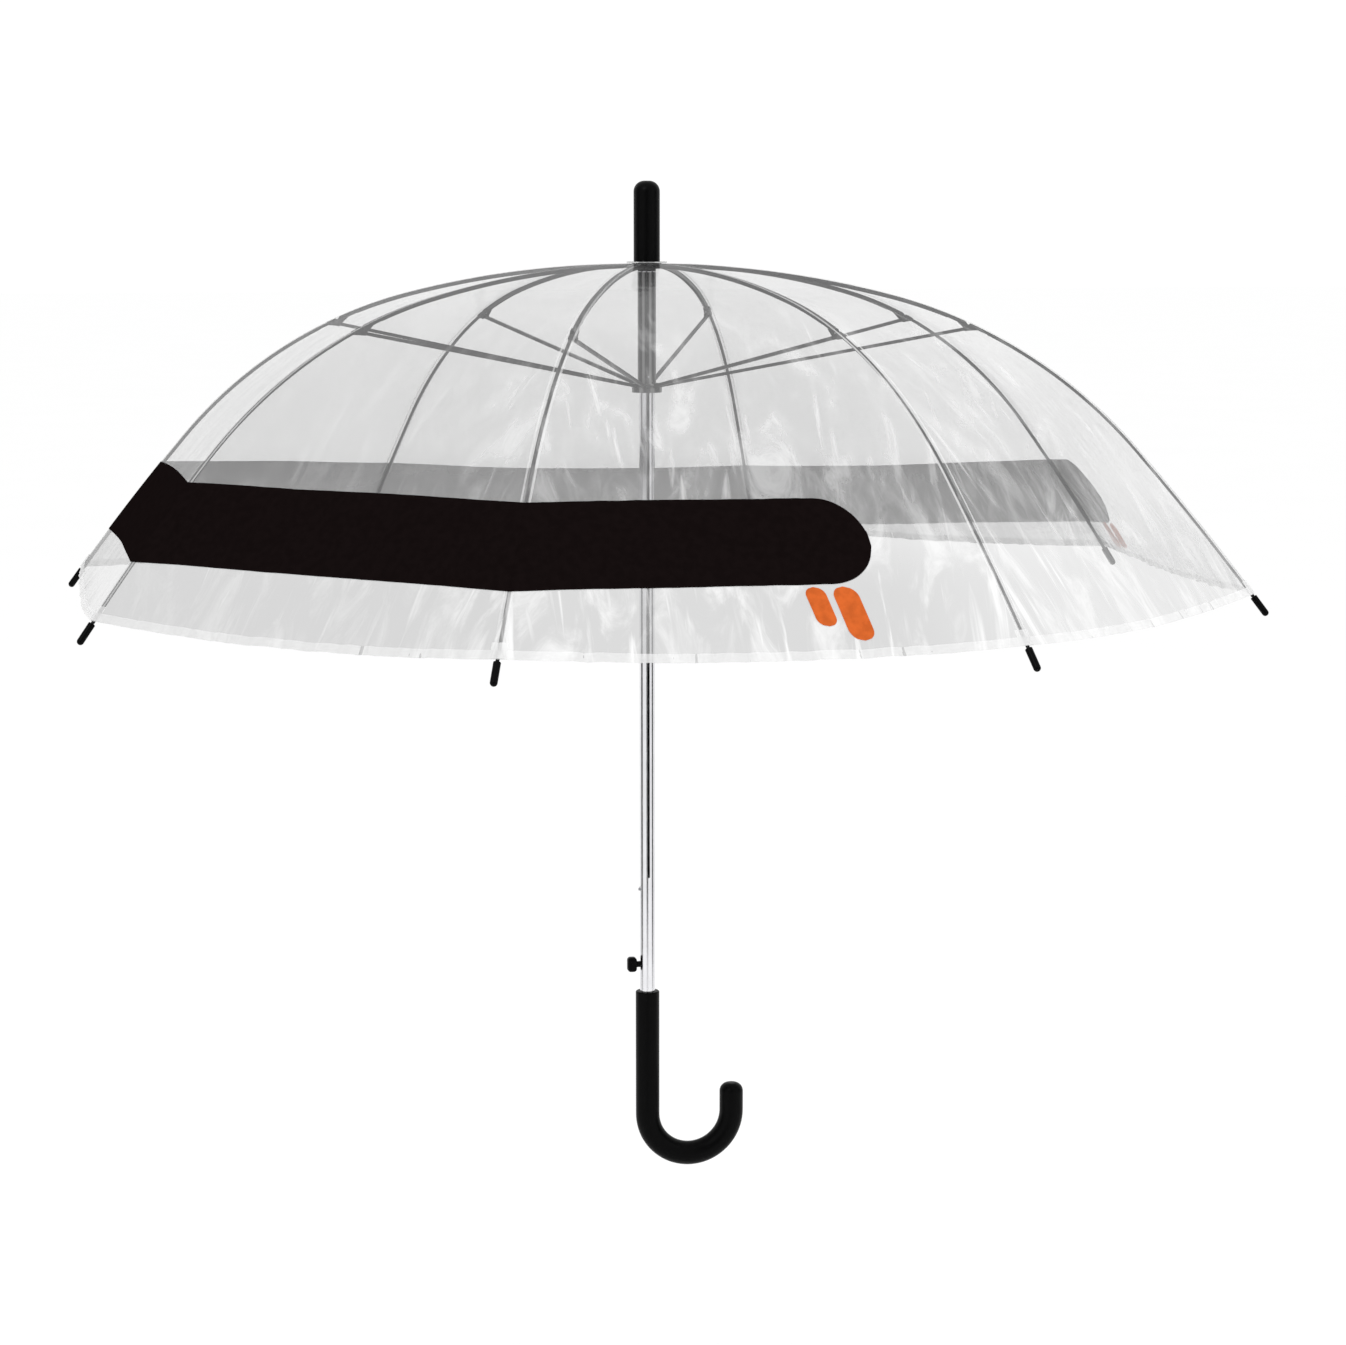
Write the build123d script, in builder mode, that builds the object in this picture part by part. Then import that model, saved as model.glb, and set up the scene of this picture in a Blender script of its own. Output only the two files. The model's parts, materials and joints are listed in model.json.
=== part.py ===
from build123d import *
from math import atan2, cos, degrees, hypot, radians, sin, tan
import os

# A clear dome umbrella, stored open and upright. +Z points up the shaft, +X towards the crook of the
# handle, and the origin is the middle of the straight grip. All sizes are millimetres and degrees.

# Ribs: each follows one centre line, a chain of tangent arcs that starts level and bends downwards.
rib_count = 8
crown_bend_radius = 801.5
crown_bend_length = 200.6
shoulder_bend_radius = 401.4
shoulder_bend_length = 239.7
skirt_bend_radius = 2237.0
skirt_bend_length = 172.9
rib_width = 3.6
rib_height = 3.2
rib_wall = 0.6
rod_radius = 1.4
tip_radius = 2.8
tip_length = 19.0
tip_socket = 7.0

# Hinges: wire rings hold the inner ends, and a rivet holds each elbow.
hinge_standoff = 2.0
wire_radius = 0.6
eye_radius = 1.35
eye_clearance = 0.1
link_thickness = 2.2
link_height = 2.7
elbow_station = 266.7
elbow_drop = 4.0
rivet_radius = 0.75
rivet_clearance = 0.08
rivet_head_radius = 1.5
rivet_head_height = 0.5
cheek_gap = 0.3
cheek_wall = 0.6
cheek_reach = 9.0
elbow_gap = 3.0
closed_angle = 2.5

# Shaft, runner and crown.
shaft_radius = 6.6
shaft_wall = 0.7
shaft_reach = 621.0
shaft_in_grip = 62.0
shaft_in_ferrule = 34.0
running_clearance = 0.05
seat_clearance = 0.02
sleeve_wall = 1.0
ring_reach = 2.9
ring_half_height = 2.2
notch_clearance = 0.2
runner_skirt = 5.2
hub_wall = 1.0
hub_drop = 4.5
hub_gap = 0.5

# Drive inside the shaft.
drive_pin_radius = 0.75
drive_pin_lift = 8.0
drive_slot_clearance = 0.2
plunger_length = 12.0
spring_radius = 4.4
spring_wall = 1.0

# Canopy film: a pair of half gores on each rib.
film_thickness = 0.25
film_lift = 0.4
film_gap = 0.15
film_start = 5.2
film_end_gap = 1.5
hem_sag = 8.0

# Top fittings.
washer_radius = 17.0
washer_height = 1.0
ferrule_radius = 11.0
ferrule_length = 67.0
ferrule_rounding = 9.0
peg_radius = 3.4

# Grip and catch.
grip_radius = 10.2
grip_length = 109.0
grip_rounding = 1.2
crook_radius = 37.0
crook_arm = 24.0
crook_rounding = 7.5
button_width = 9.0
button_height = 12.7
button_depth = 8.0
button_rounding = 2.8
button_travel = 3.0
button_drop = 66.3
stem_radius = 2.6
leaf_width = 4.0
leaf_thickness = 0.6
leaf_overlap = 6.0
tooth_width = 2.4
tooth_height = 3.0
tooth_reach = 1.2
tooth_clearance = 0.4

# Worked out from the sizes above.
rib_bends = [
    (crown_bend_radius, crown_bend_length),
    (shoulder_bend_radius, shoulder_bend_length),
    (skirt_bend_radius, skirt_bend_length),
]
sleeve_radius = shaft_radius + running_clearance + sleeve_wall
hub_radius = shaft_radius + hub_wall
pivot_radius = hub_radius + hinge_standoff
ring_radius = pivot_radius + ring_reach
rib_length = crown_bend_length + shoulder_bend_length + skirt_bend_length
half_gore = 180 / rib_count
grip_top = grip_length / 2
crown_z = grip_top + shaft_reach
rib_plane = Plane((0, 0, crown_z), x_dir=(1, 0, 0), z_dir=(0, -1, 0))
bore_radius = shaft_radius - shaft_wall
hem_station = rib_length - tip_length - film_end_gap
rod_start = elbow_station + elbow_gap
channel_start = 3 * eye_radius
channel_end = elbow_station - elbow_gap
link_bore = wire_radius + eye_clearance
rod_cheek = link_thickness / 2 + cheek_gap + cheek_wall
rib_cheek = rod_cheek + cheek_gap + cheek_wall
film_low = rib_height / 2 + film_lift
washer_z = crown_z + film_low + film_thickness + film_lift
ferrule_z = washer_z + washer_height


def station(length):
    """Radius, height over the crown pivots and downward slope of the rib at a length along it."""
    radius = pivot_radius
    height = 0.0
    slope = 0.0
    for bend_radius, bend_length in rib_bends:
        turn = min(length, bend_length) / bend_radius
        radius += bend_radius * (sin(slope + turn) - sin(slope))
        height -= bend_radius * (cos(slope) - cos(slope + turn))
        slope += turn
        length -= min(length, bend_length)
    return radius, height, slope


def offset_point(length, offset):
    """Point of the rib's side view that stands off its centre line, outwards when offset is positive."""
    radius, height, slope = station(length)
    return radius + offset * sin(slope), height + offset * cos(slope)


def draw_bends(first, last, offset):
    """Draw the rib's arcs between two lengths along it, standing off its centre line."""
    point = offset_point(first, offset)
    passed = 0.0
    for bend_radius, bend_length in rib_bends:
        start = max(first, passed)
        run = min(last, passed + bend_length) - start
        passed += bend_length
        if run > 0:
            slope = station(start)[2]
            turn = -degrees(run / bend_radius)
            arc = JernArc(point, (cos(slope), -sin(slope)), bend_radius + offset, turn)
            point = arc @ 1


def band(first, last, low, high, plane=rib_plane):
    """Face between two offsets of the rib's centre line, from one length along it to another."""
    with BuildSketch(plane) as face:
        with BuildLine():
            draw_bends(first, last, low)
            draw_bends(first, last, high)
            Line(offset_point(first, low), offset_point(first, high))
            Line(offset_point(last, low), offset_point(last, high))
        make_face()
    return face.sketch


def plane_at(length, offset):
    """Side-view plane that stands on the rib, with x along the rib and y away from the shaft."""
    radius, height = offset_point(length, offset)
    slope = station(length)[2]
    return Plane((radius, 0, crown_z + height), x_dir=(cos(slope), 0, -sin(slope)), z_dir=(0, -1, 0))


# The linkage: two equal links, from the crown to the elbow and from the elbow to the runner.
elbow_radius, elbow_height = offset_point(elbow_station, -elbow_drop)
elbow_plane = plane_at(elbow_station, -elbow_drop)
link_length = hypot(elbow_radius - pivot_radius, elbow_height)
open_angle = degrees(atan2(elbow_radius - pivot_radius, -elbow_height))
runner_z = crown_z + 2 * elbow_height
runner_closed_z = crown_z - 2 * link_length * cos(radians(closed_angle))
sleeve_top = crown_z - hub_drop - hub_gap
runner_bottom = runner_z - runner_skirt
drive_pin_z = runner_z + drive_pin_lift
drive_pin_closed_z = runner_closed_z + drive_pin_lift
tooth_z = runner_closed_z - runner_skirt + tooth_height / 2 + tooth_clearance
button_z = tooth_z - button_drop

print(f"link {link_length:.3f}, open {open_angle:.4f}, fold {open_angle - closed_angle:.4f} degrees")
print(f"elbow r {elbow_radius:.4f} z {crown_z + elbow_height:.4f}, crown z {crown_z:.4f}")
print(f"runner z {runner_z:.4f} to {runner_closed_z:.4f}, button z {button_z:.4f}")

# ---------------------------------------------------------------- rib: a steel channel, to its elbow
with BuildPart() as rib:
    channel = band(channel_start, channel_end, -rib_height / 2, rib_height / 2)
    extrude(channel, amount=rib_width / 2, both=True)
    hollow = band(channel_start + cheek_reach, channel_end, -rib_height, rib_height / 2 - rib_wall)
    extrude(hollow, amount=rib_width / 2 - rib_wall, both=True, mode=Mode.SUBTRACT)
    tab = band(0, channel_start + cheek_reach, -eye_radius, eye_radius)
    extrude(tab, amount=link_thickness / 2, both=True)
    with BuildSketch(rib_plane):
        with Locations((pivot_radius, 0)):
            Circle(eye_radius)
    extrude(amount=link_thickness / 2, both=True)
    with BuildSketch(rib_plane):
        with Locations((pivot_radius, 0)):
            Circle(link_bore)
    extrude(amount=rib_width, both=True, mode=Mode.SUBTRACT)
    # The elbow's fork: a block on the channel's end with two cheeks that hang down to the rivet.
    with BuildSketch(elbow_plane):
        Circle(elbow_drop / 2)
        with BuildLine():
            Polyline(
                (-cheek_reach, elbow_drop + rib_height / 2 - cheek_wall),
                (-elbow_gap, elbow_drop + rib_height / 2 - cheek_wall),
                (elbow_drop / 2, elbow_drop / 2),
                (elbow_drop / 2, 0),
                (-elbow_drop / 2, 0),
                (-cheek_reach, elbow_drop - rib_height / 2),
                close=True,
            )
        make_face()
    extrude(amount=rib_cheek, both=True)
    with BuildSketch(elbow_plane):
        with Locations((0, -elbow_drop)):
            Rectangle(
                4 * cheek_reach, 2 * elbow_drop - rib_height / 2, align=(Align.CENTER, Align.MIN)
            )
        with Locations((-elbow_gap, 0)):
            Rectangle(2 * cheek_reach, 4 * elbow_drop, align=(Align.MIN, Align.CENTER))
    extrude(amount=rib_cheek - cheek_wall, both=True, mode=Mode.SUBTRACT)
    with BuildSketch(elbow_plane):
        Circle(rivet_radius)
    extrude(amount=rib_cheek, both=True)
    for side in (-1, 1):
        with BuildSketch(elbow_plane.offset(side * rib_cheek)):
            Circle(rivet_head_radius)
        extrude(amount=side * rivet_head_height)

# -------------------------------------------------------- rib rod: from the elbow into the rib's tip
rod_base = plane_at(rod_start, 0)
with BuildPart() as rib_rod:
    with BuildLine(rib_plane) as rod_path:
        draw_bends(rod_start, rib_length - tip_length + tip_socket, 0)
    with BuildSketch(Plane(rod_base.origin, z_dir=rod_base.x_dir)):
        Circle(rod_radius)
    sweep(path=rod_path.line)
    with BuildSketch(elbow_plane):
        Circle(elbow_drop / 2)
        with BuildLine():
            Polyline(
                (-elbow_drop / 2, 0),
                (elbow_gap / 2, elbow_drop + rod_radius),
                (cheek_reach, elbow_drop + rod_radius),
                (cheek_reach, elbow_drop - rod_radius),
                (elbow_drop / 2, -elbow_drop / 4),
                close=True,
            )
        make_face()
    extrude(amount=rod_cheek, both=True)
    with BuildSketch(elbow_plane):
        with Locations((0, -elbow_drop)):
            Rectangle(
                4 * cheek_reach, 2 * elbow_drop - rod_radius, align=(Align.CENTER, Align.MIN)
            )
    extrude(amount=rod_cheek - cheek_wall, both=True, mode=Mode.SUBTRACT)
    with BuildSketch(elbow_plane):
        Circle(rivet_radius + rivet_clearance)
    extrude(amount=rib_width, both=True, mode=Mode.SUBTRACT)

# ------------------------------------------------------------ rib tip: a cap with a rounded free end
tip_base = plane_at(rib_length - tip_length, 0)
tip_axis = Axis(tip_base.origin, tip_base.x_dir)
with BuildPart() as rib_tip:
    with BuildSketch(tip_base):
        with BuildLine():
            Line((0, 0), (0, tip_radius))
            Line((0, tip_radius), (tip_length - tip_radius, tip_radius))
            RadiusArc((tip_length - tip_radius, tip_radius), (tip_length, 0), tip_radius)
            Line((tip_length, 0), (0, 0))
        make_face()
    revolve(axis=tip_axis)
    with BuildSketch(tip_base):
        Rectangle(tip_socket, rod_radius + seat_clearance, align=(Align.MIN, Align.MIN))
    revolve(axis=tip_axis, mode=Mode.SUBTRACT)

# ----------------------------------------------------- stretcher: from the elbow down to the runner
link_tilt = degrees(atan2(-elbow_height, elbow_radius - pivot_radius))
with BuildPart() as stretcher:
    with BuildSketch(rib_plane):
        with Locations(((elbow_radius + pivot_radius) / 2, elbow_height * 3 / 2)):
            SlotCenterToCenter(link_length, link_height, rotation=link_tilt)
    extrude(amount=link_thickness / 2, both=True)
    with BuildSketch(rib_plane):
        with Locations((elbow_radius, elbow_height)):
            Circle(rivet_radius + rivet_clearance)
        with Locations((pivot_radius, 2 * elbow_height)):
            Circle(link_bore)
    extrude(amount=link_thickness, both=True, mode=Mode.SUBTRACT)


# ------------------------------------------------------------- canopy film: half gores beside a rib
chord_direction = Vector(-sin(radians(half_gore)), cos(radians(half_gore)), 0)
gore_direction = Vector(cos(radians(half_gore)), sin(radians(half_gore)), 0)
gore_middle = Plane(chord_direction * -film_gap, x_dir=gore_direction, z_dir=chord_direction)


def half_gore_film(first, last):
    """Film on one side of the rib, straight along the gore's chords, out to the gore's middle."""
    profile = band(first, last, film_low, film_low + film_thickness, rib_plane.offset(-film_gap))
    with BuildPart() as film:
        extrude(profile, amount=station(last)[0], dir=chord_direction)
        split(bisect_by=gore_middle, keep=Keep.BOTTOM)
    return film.part


def hem_plane():
    """Plane of the film at the hem in the middle of a gore, with y up the slope."""
    radius, height, slope = station(hem_station)
    middle = gore_direction * radius * cos(radians(half_gore))
    gore_slope = atan2(tan(slope), cos(radians(half_gore)))
    normal = gore_direction * sin(gore_slope) + Vector(0, 0, cos(gore_slope))
    return Plane(middle + Vector(0, 0, crown_z + height), x_dir=chord_direction, z_dir=normal)


hem_half_width = station(hem_station)[0] * sin(radians(half_gore))
hem_radius = (hem_half_width**2 + hem_sag**2) / (2 * hem_sag)

with BuildPart() as film_upper:
    add(half_gore_film(film_start, elbow_station - film_gap))
    mirror(about=Plane.XZ)

with BuildPart() as film_lower:
    add(half_gore_film(elbow_station + film_gap, hem_station + 2 * hem_sag))
    with BuildSketch(hem_plane()):
        with Locations((0, hem_radius - hem_sag)):
            Circle(hem_radius)
    extrude(amount=hem_half_width, both=True, mode=Mode.INTERSECT)
    mirror(about=Plane.XZ)


# --------------------------------------------------------------------------- shaft: a slotted tube
slot_width = 2 * (drive_pin_radius + drive_slot_clearance)
slot_top = drive_pin_z + drive_pin_radius + drive_slot_clearance
slot_bottom = drive_pin_closed_z - drive_pin_radius - drive_slot_clearance
with BuildPart() as shaft_tube:
    with BuildSketch(Plane.XY.offset(grip_top - shaft_in_grip)):
        Circle(shaft_radius)
        Circle(bore_radius, mode=Mode.SUBTRACT)
    extrude(amount=ferrule_z + shaft_in_ferrule - grip_top + shaft_in_grip)
    with BuildSketch(Plane.XZ):
        with Locations((0, (slot_top + slot_bottom) / 2)):
            Rectangle(slot_width, slot_top - slot_bottom)
    extrude(amount=2 * shaft_radius, mode=Mode.SUBTRACT)
    with BuildSketch(Plane.YZ):
        with Locations((0, button_z)):
            Circle(stem_radius + eye_clearance)
        with Locations((0, tooth_z)):
            Rectangle(tooth_width + 2 * tooth_clearance, tooth_height + 2 * tooth_clearance)
    extrude(amount=-2 * shaft_radius, mode=Mode.SUBTRACT)


def notched_ring(middle_z, low, high, bore):
    """Ring for hinge eyes, with a notch for each eye and a groove that the hinge wire lies in."""
    with BuildPart() as ring:
        with BuildSketch(Plane.XY.offset(middle_z + low)):
            Circle(ring_radius)
            Circle(bore, mode=Mode.SUBTRACT)
        extrude(amount=high - low)
        with BuildSketch(Plane.XY.offset(middle_z - wire_radius)):
            Circle(2 * ring_radius)
            Circle(pivot_radius - wire_radius, mode=Mode.SUBTRACT)
        extrude(amount=2 * wire_radius, mode=Mode.SUBTRACT)
    return ring.part


def notches(low_z, high_z):
    """Cutters for the notches of a ring, one for each hinge eye."""
    notch_width = link_thickness + 2 * notch_clearance
    with BuildPart() as cutters:
        with BuildSketch(Plane.XY.offset(low_z)):
            with PolarLocations(hub_radius + notch_clearance, rib_count, start_angle=half_gore):
                Rectangle(ring_radius, notch_width, align=(Align.MIN, Align.CENTER))
        extrude(amount=high_z - low_z)
    return cutters.part


def hinge_wire(middle_z):
    """Round wire ring through the hinge eyes."""
    with BuildPart() as wire:
        with BuildSketch(Plane.XZ):
            with Locations((pivot_radius, middle_z)):
                Circle(wire_radius)
        revolve(axis=Axis.Z)
    return wire.part


# ------------------------------------------------------------------- crown, its wire and the washer
with BuildPart() as crown:
    add(notched_ring(crown_z, -ring_half_height, ring_half_height, shaft_radius + seat_clearance))
    notch_top = crown_z + eye_radius + notch_clearance
    add(notches(crown_z - 2 * ring_half_height, notch_top), mode=Mode.SUBTRACT)
    with BuildSketch(Plane.XY.offset(crown_z - hub_drop)):
        Circle(hub_radius)
        Circle(shaft_radius + seat_clearance, mode=Mode.SUBTRACT)
    extrude(amount=hub_drop + washer_z - crown_z)

with BuildPart() as crown_wire:
    add(hinge_wire(crown_z))

with BuildPart() as canopy_washer:
    with BuildSketch(Plane.XY.offset(washer_z)):
        Circle(washer_radius)
        Circle(shaft_radius + seat_clearance, mode=Mode.SUBTRACT)
    extrude(amount=washer_height)

# -------------------------------------------- ferrule: a capped sleeve with a peg for the spring end
peg_end = crown_z - hub_drop
ferrule_seat = ferrule_z + shaft_in_ferrule
with BuildPart() as ferrule:
    with BuildSketch(Plane.XY.offset(ferrule_z)):
        Circle(ferrule_radius)
    extrude(amount=ferrule_length)
    fillet(ferrule.faces().sort_by(Axis.Z)[-1].edges(), radius=ferrule_rounding)
    with BuildSketch(Plane.XY.offset(ferrule_z)):
        Circle(shaft_radius + seat_clearance)
    extrude(amount=shaft_in_ferrule, mode=Mode.SUBTRACT)
    with BuildSketch(Plane.XY.offset(peg_end)):
        Circle(peg_radius)
    extrude(amount=ferrule_seat - peg_end)

# -------------------------------------------------------- runner: a long sleeve over a notched ring
runner_bore = shaft_radius + running_clearance
catch_notch = bore_radius + tooth_reach + tooth_clearance + shaft_wall
with BuildPart() as runner:
    add(notched_ring(runner_z, -runner_skirt, ring_half_height, runner_bore))
    notch_floor = runner_z - eye_radius - notch_clearance
    add(notches(notch_floor, runner_z + 2 * ring_half_height), mode=Mode.SUBTRACT)
    with BuildSketch(Plane.XY.offset(runner_bottom)):
        Circle(sleeve_radius)
        Circle(runner_bore, mode=Mode.SUBTRACT)
    extrude(amount=sleeve_top - runner_bottom)
    with BuildSketch(Plane.XZ):
        with Locations((0, drive_pin_z)):
            Circle(drive_pin_radius + seat_clearance)
    extrude(amount=2 * sleeve_radius, mode=Mode.SUBTRACT)
    with BuildSketch(Plane.XY.offset(runner_bottom)):
        Rectangle(
            catch_notch,
            tooth_width + 2 * tooth_clearance,
            align=(Align.MAX, Align.CENTER),
        )
    extrude(amount=tooth_height + 2 * tooth_clearance, mode=Mode.SUBTRACT)

with BuildPart() as runner_wire:
    add(hinge_wire(runner_z))

# ------------------------------------------- plunger: slides in the shaft and drives the runner's pin
with BuildPart() as plunger:
    with BuildSketch(Plane.XY.offset(drive_pin_z - plunger_length / 2)):
        Circle(bore_radius - running_clearance)
    extrude(amount=plunger_length)
    with BuildSketch(Plane.XZ):
        with Locations((0, drive_pin_z)):
            Circle(drive_pin_radius)
    extrude(amount=sleeve_radius - seat_clearance)

with BuildPart() as opening_spring:
    with BuildSketch(Plane.XY.offset(drive_pin_z + plunger_length / 2)):
        Circle(spring_radius)
        Circle(spring_radius - spring_wall, mode=Mode.SUBTRACT)
    extrude(amount=peg_end - drive_pin_z - plunger_length / 2)

# ------------------------------------------------------------- handle: a straight grip and a crook
with BuildPart() as handle:
    with BuildLine(Plane.XZ) as crook_path:
        shank = Line((0, grip_top), (0, -grip_top))
        crook = JernArc(shank @ 1, (0, -1), crook_radius, 180)
        Line(crook @ 1, crook @ 1 + Vector(0, 0, crook_arm))
    with BuildSketch(Plane.XY.offset(grip_top)):
        Circle(grip_radius)
    sweep(path=crook_path.line)
    arm_end = handle.faces().filter_by(GeomType.PLANE).sort_by(Axis.X)[-1]
    fillet(arm_end.edges(), radius=crook_rounding)
    grip_end = handle.faces().filter_by(GeomType.PLANE).sort_by(Axis.Z)[-1]
    fillet(grip_end.edges(), radius=grip_rounding)
    with BuildSketch(Plane.XY.offset(grip_top)):
        Circle(shaft_radius + seat_clearance)
    extrude(amount=-shaft_in_grip, mode=Mode.SUBTRACT)

# ----------------------------------------------- catch: a push button, its leaf and the leaf's tooth
button_face = shaft_radius + button_travel
leaf_face = (bore_radius**2 - (leaf_width / 2) ** 2) ** 0.5 - notch_clearance
leaf_bottom = button_z - leaf_overlap
leaf_top = tooth_z + tooth_height / 2
with BuildPart() as catch_button:
    with BuildSketch(Plane.YZ.offset(-button_face)):
        with Locations((0, button_z)):
            Rectangle(button_width, button_height)
    extrude(amount=-button_depth)
    fillet(catch_button.edges(), radius=button_rounding)
    with BuildSketch(Plane.YZ.offset(-leaf_face)):
        with Locations((0, button_z)):
            Circle(stem_radius)
    extrude(amount=leaf_face - button_face - button_depth / 2)

with BuildPart() as catch_leaf:
    with BuildSketch(Plane.YZ.offset(-leaf_face)):
        with Locations((0, (leaf_bottom + leaf_top) / 2)):
            Rectangle(leaf_width, leaf_top - leaf_bottom)
    extrude(amount=leaf_thickness)
    with BuildSketch(Plane.XZ):
        with BuildLine():
            Polyline(
                (-leaf_face, leaf_top),
                (-leaf_face - tooth_clearance, leaf_top),
                (-bore_radius - shaft_wall - tooth_reach, leaf_top - tooth_height / 2),
                (-bore_radius - shaft_wall - tooth_reach, leaf_top - tooth_height),
                (-leaf_face, leaf_top - tooth_height),
                close=True,
            )
        make_face()
    extrude(amount=tooth_width / 2, both=True)

# ------------------------------------------------------------------------------- write every piece
single_pieces = {
    "shaft_tube": shaft_tube,
    "crown": crown,
    "crown_wire": crown_wire,
    "canopy_washer": canopy_washer,
    "ferrule": ferrule,
    "runner": runner,
    "runner_wire": runner_wire,
    "plunger": plunger,
    "opening_spring": opening_spring,
    "handle": handle,
    "catch_button": catch_button,
    "catch_leaf": catch_leaf,
}
rib_pieces = {
    "rib": rib,
    "rib_rod": rib_rod,
    "rib_tip": rib_tip,
    "stretcher": stretcher,
    "film_upper": film_upper,
    "film_lower": film_lower,
}

os.makedirs("parts", exist_ok=True)
for name, piece in single_pieces.items():
    piece.part.label = name
    export_step(piece.part, f"parts/{name}.step")
for name, piece in rib_pieces.items():
    for index in range(rib_count):
        turned = piece.part.rotate(Axis.Z, half_gore * (2 * index + 1))
        turned.label = f"{name}_{index + 1}"
        export_step(turned, f"parts/{name}_{index + 1}.step")
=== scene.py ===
"""A clear dome umbrella, dressed over its CAD frame: film, welds with painted highlights, print, finishes and a
plain stage.
"""

import json
import logging
import math
from dataclasses import dataclass, field
from enum import Enum, IntEnum
from functools import partial
from typing import Callable, Sequence

import bmesh
import bpy
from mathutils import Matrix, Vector, noise


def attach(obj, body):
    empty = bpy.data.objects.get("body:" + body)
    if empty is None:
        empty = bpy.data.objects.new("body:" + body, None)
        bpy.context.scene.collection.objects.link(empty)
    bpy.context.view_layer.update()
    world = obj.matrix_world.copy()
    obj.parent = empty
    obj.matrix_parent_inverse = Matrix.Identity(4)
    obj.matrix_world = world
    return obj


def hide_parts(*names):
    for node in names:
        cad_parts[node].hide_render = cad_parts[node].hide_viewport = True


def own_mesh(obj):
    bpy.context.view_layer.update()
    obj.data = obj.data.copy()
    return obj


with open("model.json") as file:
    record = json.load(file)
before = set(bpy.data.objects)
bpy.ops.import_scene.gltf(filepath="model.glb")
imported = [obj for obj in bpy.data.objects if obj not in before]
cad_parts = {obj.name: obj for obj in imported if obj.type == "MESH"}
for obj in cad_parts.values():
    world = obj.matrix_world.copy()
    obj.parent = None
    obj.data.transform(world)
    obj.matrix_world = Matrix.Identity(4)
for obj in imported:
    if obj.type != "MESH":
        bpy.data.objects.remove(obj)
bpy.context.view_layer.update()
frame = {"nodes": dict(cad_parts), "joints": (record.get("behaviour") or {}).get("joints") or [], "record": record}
LOG = logging.getLogger("umbrella")

Tint = tuple[float, float, float]
Place = tuple[float, float, float]
Span = tuple[float, float]
Spot = Callable[[float, float], Span]
Lift = Callable[[float, float], float]
Socket = bpy.types.NodeSocket

RIB_COUNT = 8
HALF_GORE = math.pi / RIB_COUNT
CROWN_Z: float = frame["joints"][0]["pos_m"][2]
NOISE_SPAN: Span = (0.3, 0.7)


class Side(Enum):
    """The two gores that a rib lies between, by the way their angle changes."""

    LEFT = -1
    RIGHT = 1

    @classmethod
    def of(cls, across: float) -> "Side":
        """Side of a rib that a place across it lies on."""
        return cls.RIGHT if across > 0 else cls.LEFT


class MixSocket(IntEnum):
    """Places of a colour mix's sockets, which share their names with those of other kinds of mix."""

    SHARE = 0
    FIRST = 6
    SECOND = 7
    RESULT = 2


def smooth_step(low: float, high: float, value: float) -> float:
    """Rise gently from 0 at low to 1 at high.

    Args:
        low: Where the rise starts.
        high: Where the rise ends.
        value: The place to read.

    Returns:
        The height of the step there, from 0 to 1.
    """
    share = min(max((value - low) / (high - low), 0.0), 1.0)
    return share * share * (3.0 - 2.0 * share)


def heading(angle: float) -> Vector:
    """Level unit vector at an angle about the shaft."""
    return Vector((math.cos(angle), math.sin(angle), 0.0))


def rib_angle(rib: int) -> float:
    """Angle of a rib about the shaft, for ribs numbered from 0."""
    return HALF_GORE * (2 * rib + 1)


def grey(tone: float) -> tuple[float, float, float, float]:
    """Opaque grey of a tone."""
    return tone, tone, tone, 1.0


def between(top: Callable[[float], float], foot: Callable[[float], float]) -> Spot:
    """Spread a grid over the film from one edge to another.

    Args:
        top: Station of the upper edge at a place across the rib.
        foot: Station of the lower edge at a place across the rib.

    Returns:
        The place across and the station of each place on the grid.
    """
    return lambda x, y: (x, top(x) + (foot(x) - top(x)) * (y + 1.0) / 2.0)


@dataclass(frozen=True)
class RibLine:
    """The side view that every rib follows: tangent arcs that start level and bend downwards."""

    pivot_radius: float = 0.0096
    bends: tuple[Span, ...] = ((0.8015, 0.2006), (0.4014, 0.2397), (2.237, 0.1729))
    elbow: float = 0.2667
    tip_length: float = 0.019
    tip_gap: float = 0.0015

    @property
    def length(self) -> float:
        """Length of the rib from its crown pivot to the end of its tip."""
        return sum(run for _, run in self.bends)

    @property
    def hem(self) -> float:
        """Length along the rib at which the film ends."""
        return self.length - self.tip_length - self.tip_gap

    def at(self, length: float, lift: float = 0.0) -> Place:
        """Find a place on the rib.

        Args:
            length: Distance along the rib from its crown pivot.
            lift: Distance that the place stands off the rib's centre line, outwards.

        Returns:
            The radius, the height in the row frame and the downward slope there.
        """
        radius, height, slope = self.pivot_radius, CROWN_Z, 0.0
        for bend_radius, bend_length in self.bends:
            run = min(length, bend_length)
            turn = run / bend_radius
            radius += bend_radius * (math.sin(slope + turn) - math.sin(slope))
            height -= bend_radius * (math.cos(slope) - math.cos(slope + turn))
            slope += turn
            length -= run
        radius += lift * math.sin(slope) + length * math.cos(slope)
        height += lift * math.cos(slope) - length * math.sin(slope)
        return radius, height, slope

    def half_gore(self, station: float, lift: float = 0.0) -> float:
        """Half the width of a gore at a station."""
        return self.at(station, lift)[0] * math.sin(HALF_GORE)


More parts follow.
